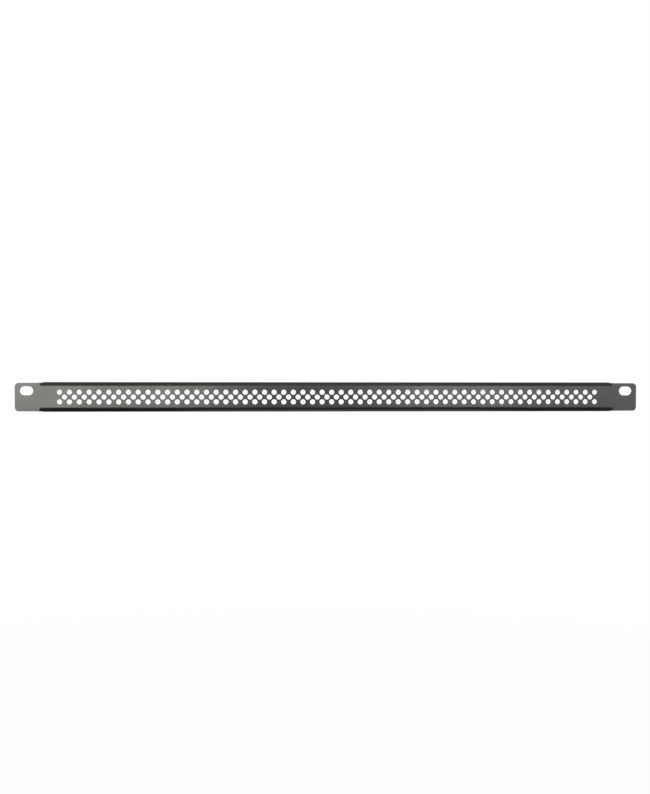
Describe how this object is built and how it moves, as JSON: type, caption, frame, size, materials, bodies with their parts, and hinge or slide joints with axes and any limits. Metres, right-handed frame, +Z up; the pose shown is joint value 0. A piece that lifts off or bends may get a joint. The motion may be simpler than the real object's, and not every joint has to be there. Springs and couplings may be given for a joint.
{
  "type": "vented rack blanking panel",
  "caption": "Perforated sheet-steel rack blanking panel with folded top and bottom flanges and slotted ears; fills an unused half-unit gap in a rack and lets air through.",
  "frame": {"origin": "midway between the two mounting slots, on the plane of the ears' rear faces, which bear on the rack's rails", "axes": "+X along the panel, to the right of someone facing the rack; +Z up; -Y out of the rack, towards that person"},
  "size_m": [0.4826, 0.012, 0.0228],
  "materials": {
    "powder_coat": "satin black powder coat on steel, fine orange peel"
  },
  "bodies": {
    "root": {"blanking_panel": "powder_coat"}
  },
  "joints": []
}
